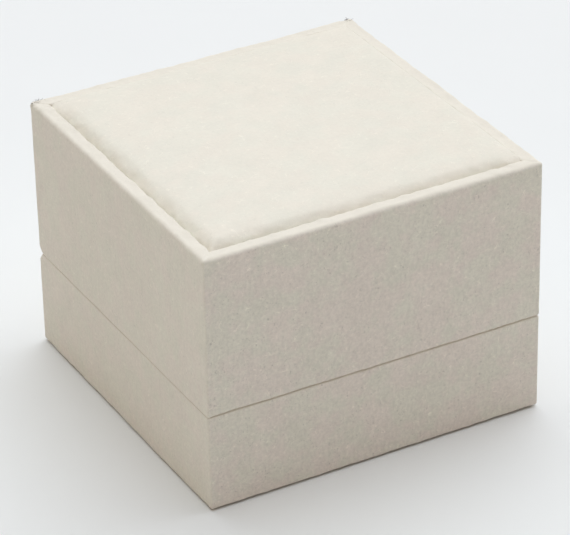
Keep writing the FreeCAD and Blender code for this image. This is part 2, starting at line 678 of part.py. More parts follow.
doc.recompute()
failed = [item.Name for item in doc.Objects if {"Invalid", "Error"} & set(item.State)]
if failed:
    raise RuntimeError(f"not computed: {failed}")
for node, piece in kept.items():
    if piece.Label != node:
        raise RuntimeError(f"{node} is labelled {piece.Label}")
    if piece.Shape.isNull() or not piece.Shape.isValid() or not piece.Shape.Solids:
        raise RuntimeError(f"{node} has no valid solid")

os.makedirs("parts", exist_ok=True)
for node, piece in kept.items():
    piece.Shape.exportStep(f"parts/{node}.step")
    print(f"{node}: {len(piece.Shape.Solids)} solid(s), {piece.Shape.Volume:.2f} mm3")
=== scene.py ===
import math
import random

import bmesh
import bpy
from mathutils import Matrix, Vector, noise


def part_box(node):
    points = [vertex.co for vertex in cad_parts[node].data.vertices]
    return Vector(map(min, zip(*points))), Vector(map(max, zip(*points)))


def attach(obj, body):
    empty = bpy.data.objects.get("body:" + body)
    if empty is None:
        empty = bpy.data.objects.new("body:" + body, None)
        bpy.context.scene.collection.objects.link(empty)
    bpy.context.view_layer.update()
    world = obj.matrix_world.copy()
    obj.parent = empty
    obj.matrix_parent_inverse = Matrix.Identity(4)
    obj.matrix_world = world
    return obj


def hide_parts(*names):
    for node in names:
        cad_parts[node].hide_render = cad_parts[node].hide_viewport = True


# Necklace box of cloth-wrapped board, shut. The model's frame: +Z up, the front faces -Y, hinges at the back.
# Numbers in the dictionaries are millimetres unless a note says otherwise. mm turns them into metres.

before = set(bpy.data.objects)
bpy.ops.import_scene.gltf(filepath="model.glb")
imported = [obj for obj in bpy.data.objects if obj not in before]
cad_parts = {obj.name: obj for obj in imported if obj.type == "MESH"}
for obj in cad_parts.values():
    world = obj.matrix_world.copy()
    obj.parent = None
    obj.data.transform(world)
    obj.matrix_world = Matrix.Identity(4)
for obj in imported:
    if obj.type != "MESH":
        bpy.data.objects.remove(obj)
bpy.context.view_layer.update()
scene = bpy.context.scene
mm = 0.001
print("frame loaded:", len(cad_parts), "nodes")


# Camera, at the photograph's place

viewpoint = {
    "place": (-336.1, -620.9, 441.1),
    "azimuth": -28.44,  # degrees
    "elevation": 30.21,
    "roll": -1.21,
    "lens": 211.5,
}


def addCamera():
    turn, tilt, roll = (math.radians(viewpoint[key]) for key in ("azimuth", "elevation", "roll"))
    back = Vector((math.sin(turn) * math.cos(tilt), -math.cos(turn) * math.cos(tilt), math.sin(tilt)))
    level = Vector((math.cos(turn), math.sin(turn), 0))
    rise = back.cross(level)
    right = math.cos(roll) * level + math.sin(roll) * rise
    up = math.cos(roll) * rise - math.sin(roll) * level
    camera = bpy.data.objects.new("camera", bpy.data.cameras.new("camera"))
    camera.data.lens = viewpoint["lens"]
    camera.data.clip_start = 0.01
    turned = Matrix((right, up, back)).transposed().to_4x4()
    camera.matrix_world = Matrix.Translation(Vector(viewpoint["place"]) * mm) @ turned
    scene.collection.objects.link(camera)
    scene.camera = camera


addCamera()
print("camera placed")


# Shader nodes, written as sums

class Wire:  # one output of a node
    def __init__(self, graph, socket):
        self.graph = graph
        self.socket = socket

    def sum(self, operation, *values):
        return self.graph.node("ShaderNodeMath", {"operation": operation}, dict(enumerate(values)))

    def __add__(self, other):
        return self.sum("ADD", self, other)

    def __radd__(self, other):
        return self.sum("ADD", other, self)

    def __sub__(self, other):
        return self.sum("SUBTRACT", self, other)

    def __rsub__(self, other):
        return self.sum("SUBTRACT", other, self)

    def __mul__(self, other):
        return self.sum("MULTIPLY", self, other)

    def __rmul__(self, other):
        return self.sum("MULTIPLY", other, self)

    def __abs__(self):
        return self.sum("ABSOLUTE", self)


class Graph:  # the nodes of a material or of the world
    def __init__(self, owner):
        self.owner = owner
        owner.use_nodes = True
        self.tree = owner.node_tree
        self.tree.nodes.clear()

    def node(self, kind, settings=None, inputs=None, output=0):
        made = self.tree.nodes.new(kind)
        for key, setting in (settings or {}).items():
            setattr(made, key, setting)
        for key, given in (inputs or {}).items():
            socket = made.inputs[key]
            if isinstance(given, Wire):
                self.tree.links.new(given.socket, socket)
            else:
                socket.default_value = (*given, 1) if socket.type == "RGBA" else given
        return Wire(self, made.outputs[output]) if made.outputs else made

    def place(self, x=1, y=1, z=1):  # object coordinates, stretched
        plain = self.node("ShaderNodeTexCoord", output="Object")
        return self.node("ShaderNodeVectorMath", {"operation": "MULTIPLY"}, {0: plain, 1: (x, y, z)})

    def noise(self, place, size, detail=2, rough=0.5):
        values = {"Vector": place, "Scale": 1 / (size * mm), "Detail": detail, "Roughness": rough}
        return self.node("ShaderNodeTexNoise", None, values)

    def facing(self, axis, low, high):  # 1 where the surface faces along X, Y or Z: axis 0, 1 or 2
        normal = self.node("ShaderNodeTexCoord", output="Normal")
        return self.limits(abs(self.node("ShaderNodeSeparateXYZ", None, {0: normal}, output=axis)), low, high)

    def limits(self, level, low, high):  # 0 at low, 1 at high
        values = {"Value": level, "From Min": low, "From Max": high}
        return self.node("ShaderNodeMapRange", {"clamp": True}, values)

    def mix(self, first, second, share):
        return self.node("ShaderNodeMix", {"data_type": "RGBA"}, {0: share, 6: first, 7: second}, output=2)

    def shade(self, colour, level):
        return self.node("ShaderNodeVectorMath", {"operation": "SCALE"}, {0: colour, "Scale": level})

    def bump(self, height, strength, depth):
        values = {"Height": height, "Strength": strength, "Distance": depth * mm}
        return self.node("ShaderNodeBump", None, values)

    def finish(self, **sockets):
        values = {key.replace("_", " "): given for key, given in sockets.items()}
        shader = self.node("ShaderNodeBsdfPrincipled", None, values)
        self.node("ShaderNodeOutputMaterial", None, {"Surface": shader})
        return self.owner


def screen(red, green, blue):  # a colour as a screen shows it, 0 to 255, as light
    return tuple(((level / 255 + 0.055) / 1.055) ** 2.4 for level in (red, green, blue))


# Suede: beige microfibre with a short nap. Warm and greenish mottling, a fine grain, soft upright streaks on
# the walls, pale curled fibres and small dark pits.

outerSuede = {
    "warm": (235, 227, 215), "cool": (232, 229, 214), "top": (235, 229, 215),
    "cloudSize": 6, "mottleSize": 7, "grainSize": 0.8, "fineSize": 0.3,
    "curlSize": 2.6, "curlLength": 1.5, "pitSize": 0.55, "pitSpacing": 2.2,
    "clouds": 0.1, "grain": 0.36, "fine": 0.15, "streaks": 0.1,  # how strongly each one shows
    "fibres": 0.19, "fibreWidth": 0.014, "pits": 0.22,
    "bump": 0.5, "bumpDepth": 0.12, "rough": 0.86, "sheen": 0.22,
    "calmTop": 0.75, "calmSide": 0.4,  # how much smoother it looks on top, and on the left and right
}
padSuede = {
    **outerSuede,
    "warm": (236, 230, 216), "cool": (234, 230, 216),
    "streaks": 0.0, "grain": 0.11, "fine": 0.03, "pits": 0.07, "fibres": 0.1, "bump": 0.35,
    "calmTop": 0.0, "calmSide": 0.0,
}


def suede(name, look):
    graph = Graph(bpy.data.materials.new(name))
    place = graph.place()
    upright = graph.place(1, 1, 0.2)
    clouds = graph.noise(place, look["cloudSize"], detail=4, rough=0.6)
    mottle = graph.noise(place, look["mottleSize"], detail=3, rough=0.55)
    grain = graph.noise(place, look["grainSize"], detail=3, rough=0.65)
    fine = graph.noise(place, look["fineSize"], detail=2, rough=0.6)
    streaks = graph.noise(upright, look["grainSize"] * 0.9, detail=2)
    wander = graph.noise(place, look["curlSize"], detail=1.5, rough=0.55)
    curls = 1 - graph.limits(abs(wander - 0.5), 0.0, look["fibreWidth"])
    fibres = curls * graph.limits(graph.noise(place, look["curlLength"], detail=0), 0.55, 0.62)
    pits = graph.limits(graph.noise(place, look["pitSize"], detail=1.5, rough=0.6), 0.60, 0.72)
    pits = pits * graph.limits(graph.noise(place, look["pitSpacing"], detail=1), 0.50, 0.62)
    top = look["calmTop"] * graph.facing(2, 0.35, 0.9)
    calm = (1 - top) * (1 - look["calmSide"] * graph.facing(0, 0.5, 0.9))
    nap = look["grain"] * (grain - 0.5) + look["fine"] * (fine - 0.5) + look["streaks"] * (streaks - 0.5)
    nap = nap + look["fibres"] * fibres - look["pits"] * pits
    level = 1 + look["clouds"] * (clouds - 0.5) + calm * nap
    share = 0.5 + calm * (graph.limits(mottle, 0.40, 0.60) - 0.5)
    mottled = graph.mix(screen(*look["cool"]), screen(*look["warm"]), share)
    tone = graph.mix(mottled, screen(*look["top"]), top)
    height = calm * (grain + 0.5 * fine + 0.3 * streaks + 0.5 * fibres - 0.6 * pits)
    return graph.finish(Base_Color=graph.shade(tone, level), Roughness=look["rough"] + 0.12 * grain,
                        Normal=graph.bump(height, look["bump"], look["bumpDepth"]),
                        Specular_IOR_Level=0.15, Sheen_Weight=look["sheen"], Sheen_Roughness=0.45)


# Velvet: shorter and brighter pile, brushed in broad strokes

creamVelvet = {
    "dark": (218, 209, 194), "light": (236, 230, 218), "stroke": 11, "pile": 0.3,
    "rough": 0.8, "sheen": 0.45, "bump": 0.45, "bumpDepth": 0.12,
}


def velvet(name, look):
    graph = Graph(bpy.data.materials.new(name))
    place = graph.place()
    strokes = graph.noise(graph.place(1, 0.45, 0.45), look["stroke"], detail=2.5, rough=0.55)
    pile = graph.noise(place, look["pile"], detail=3, rough=0.7)
    share = graph.limits(strokes, 0.36, 0.64)
    tone = graph.mix(screen(*look["dark"]), screen(*look["light"]), 0.75 * share + 0.35 * (pile - 0.5))
    return graph.finish(Base_Color=graph.shade(tone, 0.92 + 0.16 * pile),
                        Roughness=look["rough"] + 0.15 * pile,
                        Normal=graph.bump(pile + 0.6 * strokes, look["bump"], look["bumpDepth"]),
                        Specular_IOR_Level=0.12, Sheen_Weight=look["sheen"], Sheen_Roughness=0.35)


# Satin: smooth warp-faced cloth with a faint thread and slow waves, whose gloss is painted sheen: slow
# lighter and darker waves in the colour

creamSatin = {"colour": (229, 221, 205), "thread": 0.26, "slackAndSheenSize": 13, "rough": 0.36}
ribbonSatin = {"colour": (214, 201, 180), "thread": 0.5, "slackAndSheenSize": 13, "rough": 0.42}


def satin(name, look):
    graph = Graph(bpy.data.materials.new(name))
    place = graph.place()
    waves = {"Vector": place, "Scale": 0.314 / (look["thread"] * mm), "Distortion": 0.6, "Detail": 1}
    threads = graph.node("ShaderNodeTexWave", {"bands_direction": "X"}, waves)
    weft = graph.noise(graph.place(0.2, 1, 1), look["thread"] * 0.9, detail=1)
    slack = graph.noise(place, look["slackAndSheenSize"], detail=1)
    # painted sheen: the slow slack waves make the colour lighter and darker, as their gloss would; in the
    # bump they are real waves
    level = 0.95 + 0.05 * threads + 0.08 * (weft - 0.5) + 0.06 * (slack - 0.5)
    height = threads + 0.7 * weft + 2 * slack
    return graph.finish(Base_Color=graph.shade(screen(*look["colour"]), level),
                        Roughness=look["rough"] + 0.16 * weft, Normal=graph.bump(height, 0.3, 0.05),
                        Specular_IOR_Level=0.5, Sheen_Weight=0.1)


# Metals: brass-plated sheet and wire, nickel-plated magnets. Rolled grain, dull spots.

brassPlate = {"bright": (226, 192, 120), "dull": (168, 132, 74), "grain": 0.16, "stains": 2.4, "rough": 0.26}
nickelPlate = {"bright": (206, 206, 204), "dull": (160, 158, 152), "grain": 0.16, "stains": 2.4, "rough": 0.2}


def metal(name, look):
    graph = Graph(bpy.data.materials.new(name))
    grain = graph.noise(graph.place(0.12, 1, 1), look["grain"], detail=2)
    stains = graph.noise(graph.place(), look["stains"], detail=4, rough=0.6)
    dull = graph.limits(stains, 0.50, 0.72)
    tone = graph.mix(screen(*look["bright"]), screen(*look["dull"]), 0.8 * dull)
    return graph.finish(Base_Color=graph.shade(tone, 0.95 + 0.1 * grain), Metallic=1 - 0.12 * dull,
                        Roughness=look["rough"] + 0.22 * dull + 0.08 * grain,
                        Normal=graph.bump(grain + 0.5 * stains, 0.25, 0.02))


# Rigid board and paper: pressed fibres, with layers that show on the cut edges

greyBoard = {"dark": (140, 132, 118), "light": (176, 168, 152), "layer": 0.35, "rough": 0.93}
footPaper = {"dark": (62, 55, 48), "light": (92, 84, 74), "layer": 0.5, "rough": 0.9}
cutThreads = {"dark": (96, 92, 88), "light": (150, 144, 136), "layer": 0.4, "rough": 0.9}
fleckSpacing = 1.6


def pressed(name, look):
    graph = Graph(bpy.data.materials.new(name))
    place = graph.place()
    fibres = graph.noise(place, 0.5, detail=4, rough=0.7)
    layers = graph.noise(graph.place(0.05, 0.05, 1), look["layer"], detail=2)
    cells = graph.node("ShaderNodeTexVoronoi", None, {"Vector": place, "Scale": 1 / (fleckSpacing * mm)})
    flecks = 1 - graph.limits(cells, 0.05, 0.14)
    tone = graph.mix(screen(*look["dark"]), screen(*look["light"]), 0.6 * fibres + 0.4 * layers)
    return graph.finish(Base_Color=graph.shade(tone, 1 - 0.25 * flecks), Roughness=look["rough"],
                        Normal=graph.bump(fibres + 0.5 * layers, 0.4, 0.06), Specular_IOR_Level=0.2)


finishes = {
    "outerSuede": suede("outer_suede", outerSuede),
    "padSuede": suede("pad_suede", padSuede),
    "velvet": velvet("cream_velvet", creamVelvet),
    "satin": satin("cream_satin", creamSatin),
    "ribbon": satin("ribbon_satin", ribbonSatin),
    "brass": metal("brass_plate", brassPlate),
    "nickel": metal("nickel_plate", nickelPlate),
    "board": pressed("grey_board", greyBoard),
    "paper": pressed("foot_paper", footPaper),
    "threads": pressed("cut_threads", cutThreads),
}
print("finishes made:", len(finishes))


# Pieces and their meshes

def makePiece(name, points, faces, finish, body, slot, standsFor=()):
    mesh = bpy.data.meshes.new(name)
    mesh.from_pydata([Vector(point) * mm for point in points], [], faces)
    work = bmesh.new()
    work.from_mesh(mesh)
    bmesh.ops.remove_doubles(work, verts=work.verts, dist=1e-7)
    bmesh.ops.recalc_face_normals(work, faces=work.faces)
    work.to_mesh(mesh)
    work.free()
    mesh.materials.append(finishes[finish])
    piece = bpy.data.objects.new(name, mesh)
    scene.collection.objects.link(piece)
    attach(piece, body)
    if standsFor:
        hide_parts(*standsFor)
    return piece


def smooth(piece, angle=50):
    mesh = piece.data
    mesh.polygons.foreach_set("use_smooth", [True] * len(mesh.polygons))
    mesh.set_sharp_from_angle(angle=math.radians(angle))
    return piece


def push(piece, amount):  # moves each point along its normal by amount(point in mm)
    normals = [point.normal.copy() for point in piece.data.vertices]
    for point, normal in zip(piece.data.vertices, normals):
        point.co += normal * amount(point.co / mm) * mm
    piece.data.update()


def settle(piece):  # its modifiers become its mesh
    evaluated = piece.evaluated_get(bpy.context.evaluated_depsgraph_get())
    mesh = bpy.data.meshes.new_from_object(evaluated)
    piece.modifiers.clear()
    piece.data = mesh


def carve(piece, points, faces):  # takes a closed shape out of the piece
    mesh = bpy.data.meshes.new("cutter")
    mesh.from_pydata([Vector(point) * mm for point in points], [], faces)
    cutter = bpy.data.objects.new("cutter", mesh)
    scene.collection.objects.link(cutter)
    cut = piece.modifiers.new("cut", "BOOLEAN")
    cut.operation = "DIFFERENCE"
    cut.solver = "EXACT"
    cut.object = cutter
    settle(piece)
    bpy.data.objects.remove(cutter)
    bpy.data.meshes.remove(mesh)


def prism(outline, low, high):  # an outline in (y, z), counter-clockwise, drawn out along x
    count = len(outline)
    points = [(x, y, z) for x in (low, high) for y, z in outline]
    sides = [(i, (i + 1) % count, count + (i + 1) % count, count + i) for i in range(count)]
    return points, sides + [tuple(range(count))[::-1], tuple(range(count, 2 * count))]


def circleOutline(y, z, radius, steps=48):
    turns = [2 * math.pi * turn / steps for turn in range(steps)]
    return [(y + radius * math.cos(turn), z + radius * math.sin(turn)) for turn in turns]


def waver(point, size, seed=0):  # smooth noise from -1 to 1, size in mm
    return noise.noise(Vector(point) / size + Vector((seed * 7.31, seed * 3.17, seed * 5.53)))


def step(value, low, high):  # 0 below low, 1 above high, smooth between
    share = min(max((value - low) / (high - low), 0), 1)
    return share * share * (3 - 2 * share)


def bell(away, width):  # 1 at no distance, fading out over the width
    return math.exp(-(away / width) ** 2)


# A ring is a level loop round the Z axis: a rectangle with round corners, its points closer together near
# them. It starts at the front left corner.

def sideShares(count, crowd):
    even = [2 * index / count - 1 for index in range(count + 1)]
    return [(1 - crowd) * share + crowd * math.sin(share * math.pi / 2) for share in even]


def ring(halfX, halfY, corner, level, shares):
    points = []
    for side in range(4):
        along, across = (halfX, halfY) if side % 2 == 0 else (halfY, halfX)
        for share in shares[:-1]:
            reach = share * along
            straight = along - corner
            x, y = reach, -across
            if abs(reach) > straight:
                turn = (abs(reach) - straight) / corner * math.pi / 4
                x = math.copysign(straight + corner * math.sin(turn), reach)
                y = -(across - corner + corner * math.cos(turn))
            turned = ((x, y), (-y, x), (-x, -y), (y, -x))[side]
            points.append((*turned, level))
    return points


def ringFaces(rows, count, closed):
    faces = []
    for row in range(rows if closed else rows - 1):
        first, second = row * count, (row + 1) % rows * count
        for index in range(count):
            after = (index + 1) % count
            faces.append((first + index, first + after, second + after, second + index))
    return faces


def fillRing(points, faces, start, shares, height=None):  # a grid across a ring, level or at height(x, y)
    count = len(shares) - 1
    border = [Vector(point) for point in points[start:start + 4 * count]]
    inner = {}
    for i in range(1, count):
        for j in range(1, count):
            across = border[4 * count - j].lerp(border[count + j], (shares[i] + 1) / 2)
            along = border[i].lerp(border[3 * count - i], (shares[j] + 1) / 2)
            x, y, level = across.x, along.y, (across.z + along.z) / 2
            inner[i, j] = len(points)
            points.append((x, y, height(x, y) if height else level))

    def at(i, j):
        if j == 0:
            return start + i
        if i == count:
            return start + count + j
        if j == count:
            return start + 3 * count - i
        return start + 4 * count - j if i == 0 else inner[i, j]

    for i in range(count):
        for j in range(count):
            faces.append((at(i, j), at(i + 1, j), at(i + 1, j + 1), at(i, j + 1)))


def softened(path):  # (inset, level, radius, spacing): corners rounded, the runs after them divided
    made = []
    count = len(path)
    for index, (inset, level, radius, spacing) in enumerate(path):
        here = Vector((inset, level))
        before = Vector(path[index - 1][:2])
        after, afterRadius = Vector(path[(index + 1) % count][:2]), path[(index + 1) % count][2]
        arrive, leave = (here - before).normalized(), (after - here).normalized()
        if radius:
            middle = here + (leave - arrive) * radius
            turns = [math.pi / 2 * turn / 7 for turn in range(8)]
            made += [middle + (arrive * math.sin(turn) - leave * math.cos(turn)) * radius for turn in turns]
        else:
            made.append(here)
        start, end = here + leave * radius, after - leave * afterRadius
        pieces = max(1, round((end - start).length / spacing))
        made += [start.lerp(end, share / pieces) for share in range(1, pieces)]
    return made


print("mesh tools ready")


# The outer cloth: one strip round each half, over the rims and turned in

wrap = {
    "turnIn": 9, "turnUnder": 12,  # the strip's edges, past the seam and under the base
    "outerRim": 1.2, "innerRim": 0.75, "seamEdge": 0.62, "footEdge": 0.75, "cornerRound": 0.55,  # radii
    "stations": 150,  # points along one side
    "glueWaves": 0.07, "edgeWobble": 0.2, "innerWobble": 0.22, "seamWobble": 0.1, "footWobble": 0.1,
    "backFill": 0.3,  # how much fuller the cloth lies over the back and right rims
    "seamCloser": 0.11,  # how much the two seam edges swell towards each other
    "lipRise": 0.06,  # the ridge just above the seam
    "leftFill": 0.16,  # the seam is shallower on the left side
    "footLift": 0.16,  # the lower edge, off the floor
    "mitreDepth": 0.2, "mitreWidth": 0.28, "foldRise": 0.1, "tipRise": 0.14,  # the folded corners of the rim
    "rimCover": 0.1,  # the cloth never draws closer to a board's edge than this takes it
    "hingeFree": 1.8,  # no seam wobble this far in from the hinge axis
    "lapInset": 2.6, "lapWidth": 11, "lapRise": 0.3,  # where the ends of the strip overlap, at the back
}
hinge = {
    "stopAngle": 48.5,  # degrees, each half's share
    "room": 0.15, "leaf": 0.6, "leafLeg": 9.0,
}

baseLow, baseHigh = (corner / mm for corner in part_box("base_wrap"))
lidLow, lidHigh = (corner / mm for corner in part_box("lid_wrap"))
frontBoard = [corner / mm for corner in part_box("lid_front_board")]
half = lidHigh.x
cloth = frontBoard[0].y - lidLow.y
wall = frontBoard[1].y - frontBoard[0].y
inside = cloth + wall + cloth  # from the outer face to the inner one
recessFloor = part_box("lid_top_board")[1].z / mm
pinLow, pinHigh = (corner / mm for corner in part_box("hinge_pin_left"))
hingeY = (pinLow.y + pinHigh.y) / 2
hingeZ = (pinLow.z + pinHigh.z) / 2
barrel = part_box("hinge_lid_leaf_left")[1].y / mm - hingeY


def hingeSlant(point, rim, way):  # the V behind the hinge axis: how far the edge draws back, up or down
    behind = max(0, point.y - hingeY) * math.tan(math.radians(hinge["stopAngle"]))
    return way * behind * max(0, 1 - abs(point.z - rim) / hinge["leafLeg"])


def seamShift(point, rim, way, seed):
    near = bell(point.z - rim, 0.9) * step(hingeY - point.y, 0, wrap["hingeFree"])
    corner = bell(half - min(abs(point.x), abs(point.y)), 1.4)
    wobble = wrap["seamWobble"] * (waver(point, 7, 11) + 0.5 * waver(point, 2.6, 12))
    wobble += 0.04 * waver(point, 3, seed)
    return near * (wobble - way * (wrap["seamCloser"] + 0.04 * corner))


def footRise(point):  # the cloth's lower edge stands a little off the floor, more so at the front
    outer = step(max(abs(point.x), abs(point.y)), half - 2.5, half - 0.8)
    low = max(0, 1 - (point.z - baseLow.z) / 1.6)
    front = step(-point.y - abs(point.x), -4, 0)
    return wrap["footLift"] * outer * low * (0.5 + 0.5 * front) * (1 + 0.8 * waver(point, 8, 13))


def rimRelief(point, reach, rim, amount):  # the top of the lid's rim: fuller edges and folded corners
    across = abs(abs(point.x) - abs(point.y)) / math.sqrt(2)  # from the mitre line
    rise = point.z - lidHigh.z
    over = min(math.hypot(reach, rise), math.hypot(reach - inside, rise))
    amount += wrap["backFill"] * bell(over, 0.8) * step(point.x + point.y, -5, 5)
    level = step(rise, -0.8, -0.15) * step(reach, 0.5, 1.3)
    amount -= wrap["mitreDepth"] * level * bell(across, wrap["mitreWidth"])
    edge = bell(math.hypot(reach, rise), 0.9)
    amount = max(amount, wrap["rimCover"] * (edge - 1)) + edge * wrap["rimCover"]
    amount += wrap["tipRise"] * edge * bell(across, 0.6)
    side = (abs(point.x) - abs(point.y)) * (1 if point.x * point.y > 0 else -1)
    return amount + wrap["foldRise"] * rim * step(side, 0.2, 0.5) * (1 - step(side, 2.5, 4.5))


def clothRelief(point):
    reach = half - max(abs(point.x), abs(point.y))  # from the outer face
    rim = step(point.z, lidHigh.z - 2.4, lidHigh.z - 0.5)
    foot = 1 - step(point.z, 0.8, 2.0)
    outer = reach < 0.4
    amount = wrap["glueWaves"] * waver(point, 13, 3) + 0.03 * waver(point, 4.5, 4)
    amount += wrap["edgeWobble"] * rim * (0.8 * waver(point, 4.2, 5) + 0.7 * waver(point, 1.7, 6))
    amount += wrap["innerWobble"] * rim * bell(reach - inside + 0.5, 0.7) * waver(point, 1.5, 14)
    amount += 0.05 * bell(point.z - hingeZ, 1.3) * waver(point, 2.4, 7)
    amount += wrap["footWobble"] * foot * waver(point, 2.2, 8)
    edges = max(bell(point.z - level, 0.45) for level in (lidLow.z, baseHigh.z))
    amount += wrap["leftFill"] * edges * step(-point.x - abs(point.y), -1, 1)
    amount += wrap["lipRise"] * bell(point.z - lidLow.z - 1.1, 0.5) * (1 + 0.6 * waver(point, 4, 9))
    amount = rimRelief(point, reach, rim, amount)
    if outer and point.y > half - 1.2:
        edge = half - wrap["lapInset"] + 0.25 * waver(point, 6, 10)
        lap = step(edge - point.x, 0, 0.4) * step(point.x - edge + wrap["lapWidth"], 0, 8)
        amount += wrap["lapRise"] * lap * (1 - bell(point.z - hingeZ, 2.4))
    return amount if outer or rim else 0.3 * amount


def skin(body, section, rim, way, seed):  # a closed strip of cloth from its cross-section
    shares = sideShares(wrap["stations"], 0.72)
    points = []
    for inset, level in section:
        corner = max(wrap["cornerRound"] - 0.7 * inset, 0.2)
        points += [Vector(point) for point in ring(half - inset, half - inset, corner, level, shares)]
    for point in points:
        point.z += hingeSlant(point, rim, way) + seamShift(point, rim, way, seed)
        point.z += footRise(point) if way < 0 else 0
    faces = ringFaces(len(section), 4 * wrap["stations"], closed=True)
    piece = makePiece(f"{body}_cloth", points, faces, "outerSuede", body, "outer_cloth", (f"{body}_wrap",))
    push(piece, clothRelief)
    for sign in (-1, 1):
        seatHinge(piece, sorted((sign * pinLow.x, sign * pinHigh.x)), rim, way)
    return smooth(piece)


def seatHinge(piece, ends, rim, way):  # room for one hinge: its barrel, and the leaf down the wall's inside
    low, high = ends[0] - hinge["room"], ends[1] + hinge["room"]
    leafFace = half - inside - cloth
    legFace = leafFace + cloth + hinge["leaf"]
    leafTop, legEnd = rim + way * hinge["leaf"], rim + way * hinge["leafLeg"]
    past = hingeZ - way * 0.4
    seat = [(leafFace, past), (hingeY, past), (hingeY, leafTop), (legFace, leafTop), (legFace, legEnd),
            (leafFace, legEnd)]
    carve(piece, *prism(seat if way > 0 else seat[::-1], low, high))
    carve(piece, *prism(circleOutline(hingeY, hingeZ, barrel + hinge["room"]), low, high))


def addWraps():  # a section's corners: inset, level, radius, spacing of the points that follow
    seam, foot, deep = wrap["seamEdge"], wrap["footEdge"], wrap["turnIn"] + cloth
    back = cloth + wall  # the cloth's glued side, inside the wall
    lidRim, baseRim, top = lidLow.z, baseHigh.z, lidHigh.z
    lidSection = softened([
        (inside, recessFloor, 0, 0.7), (inside, top, wrap["innerRim"], 0.4), (0, top, wrap["outerRim"], 0.45),
        (0, top - 4, 0, 1.3), (0, lidRim + 3, 0, 0.5), (0, lidRim, seam, 0.5),
        (inside, lidRim, seam, 1.2), (inside, lidRim + deep, 0, 1),
        (back, lidRim + deep, 0, 4), (back, lidRim + cloth, 0, 1.2), (cloth, lidRim + cloth, 0, 4),
        (cloth, top - cloth, 0, 1.2), (back, top - cloth, 0, 2), (back, recessFloor, 0, 1)])
    baseSection = softened([
        (wrap["turnUnder"], baseLow.z, 0, 1.5), (0, baseLow.z, foot, 0.5), (0, baseLow.z + 3, 0, 1.3),
        (0, baseRim - 3, 0, 0.5), (0, baseRim, seam, 0.5),
        (inside, baseRim, seam, 1.2), (inside, baseRim - deep, 0, 1), (back, baseRim - deep, 0, 4),
        (back, baseRim - cloth, 0, 1.2), (cloth, baseRim - cloth, 0, 4), (cloth, baseLow.z + cloth, 0, 3),
        (wrap["turnUnder"], baseLow.z + cloth, 0, 1)])
    lidCut = top - lidRim + deep + inside + top - recessFloor
    baseCut = baseRim - baseLow.z + inside + deep + wrap["turnUnder"]
    for body, section, rim, way, seed, cut in (("lid", lidSection, lidRim, 1, 11, lidCut),
                                               ("base", baseSection, baseRim, -1, 12, baseCut)):
        piece = skin(body, section, rim, way, seed)
        cut * mm


addWraps()
print("outer cloth wrapped")


# Padded panels: a cloth cover over foam and a card, turned under at the edges. An edge has its fall, over its
# run, and slope is the share of the fall that starts as far in as "far" says. A lip above 0 stands over the
# rim, one below 0 leaves a groove.

lidPad = {
    "turn": 7, "lift": 0.5, "crown": 0.1, "swell": 0.22, "far": 8, "corner": 0.6,
    "waves": 0.08, "ragged": 0.32,
    "front": {"fall": 3.6, "run": 3.4, "slope": 0.22, "lip": -0.35},
    "left": {"fall": 3.1, "run": 3.8, "slope": 0.2, "lip": -0.25},
    "back": {"fall": 0.3, "run": 1.8, "slope": 0, "lip": 0.45},  # and right: pressed against the rim
    "closed": {"fall": 1.25, "lip": 0.35}, "fade": 8,  # the groove's ends, closed over this length
    "stations": 150,
}


def evenEdges(fall, run):
    return {side: {"fall": fall, "run": run, "slope": 0, "lip": 0} for side in ("front", "left", "back")}


insertPad = {
    "turn": 8, "lift": 0, "crown": 0.25, "swell": 0.55, "far": 8, "corner": 2.4, "waves": 0.10, "ragged": 0.1,
    **evenEdges(3.6, 8), "fade": 0, "stations": 100,
}
ceilingPad = {
    "turn": 7, "lift": 0, "crown": 0.15, "swell": 0.2, "far": 8, "corner": 1.5, "waves": 0.06, "ragged": 0.05,
    **evenEdges(2.0, 5), "fade": 0, "stations": 64,
}
simulation = {
    "scale": 10,  # the cloth solver likes a bigger piece
    "pressure": 4, "frames": 12, "quality": 3,
    "gluedUnder": 0.9, "gluedRim": 0.4,  # held still: this near the card, and this near the rim
}


def swellUp(piece, farthest, glued):  # cloth simulation: the air in the foam lifts the cover, farthest in mm
    points = piece.data.vertices
    start = [point.co.copy() for point in points]
    group = piece.vertex_groups.new(name="glued")
    group.add([index for index, place in enumerate(start) if glued(place / mm)], 1, "REPLACE")
    for point in points:
        point.co *= simulation["scale"]
    cover = piece.modifiers.new("swell", "CLOTH")
    cover.settings.vertex_group_mass = "glued"
    cover.settings.quality = simulation["quality"]
    cover.settings.use_pressure = True
    cover.settings.uniform_pressure_force = simulation["pressure"]
    cover.settings.effector_weights.gravity = 0
    cover.collision_settings.use_collision = False
    cover.point_cache.frame_end = simulation["frames"]
    for frameNumber in range(simulation["frames"]):
        scene.frame_set(frameNumber + 1)
    swelled = piece.evaluated_get(bpy.context.evaluated_depsgraph_get()).data.vertices
    moves = [after.co / simulation["scale"] - before for after, before in zip(swelled, start)]
    share = min(1, farthest * mm / max(move.length for move in moves))
    piece.modifiers.remove(cover)
    piece.vertex_groups.remove(group)
    for point, before, move in zip(points, start, moves):
        point.co = before + move * share
    piece.data.update()
    scene.frame_set(1)
    print(piece.name, "swelled, share of the free swell:", round(share, 4))


